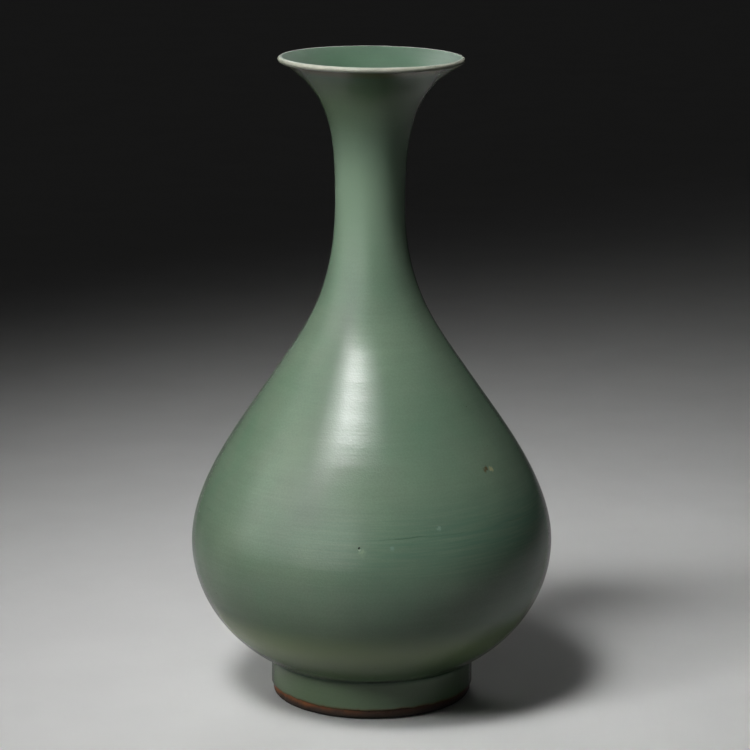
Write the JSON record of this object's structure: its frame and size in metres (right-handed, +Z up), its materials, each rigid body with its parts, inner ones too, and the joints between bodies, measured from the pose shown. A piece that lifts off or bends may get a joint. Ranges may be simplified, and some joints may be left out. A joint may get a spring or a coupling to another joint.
{
  "type": "yuhuchunping vase",
  "caption": "Pear-shaped celadon bottle vase with a trumpet mouth, slender neck, low full belly and turned foot ring, for wine or cut stems; clay sections luted with slip under glaze.",
  "frame": {"origin": "on the vase's axis, in the plane that the foot rim stands on", "axes": "+Z up along the vase's axis; X and Y are free round the axis, and the picture looks along +Y"},
  "size_m": [0.1794, 0.1794, 0.32],
  "materials": {
    "burnt_clay": "bare stoneware, burnt orange-brown at the foot",
    "clay": "fired grey stoneware",
    "slip": "fired slip of the same clay",
    "celadon": "thick satin grey-green celadon glaze",
    "pale_glaze": "thin celadon glaze, pale over the lip"
  },
  "bodies": {
    "root": {"foot_ring": "burnt_clay", "lower_body": "clay", "upper_body": "clay", "neck": "clay", "foot_luting": "slip", "belly_luting": "slip", "neck_luting": "slip", "outer_glaze": "celadon", "lip_glaze": "pale_glaze", "inner_glaze": "celadon", "base_glaze": "celadon"}
  },
  "joints": []
}
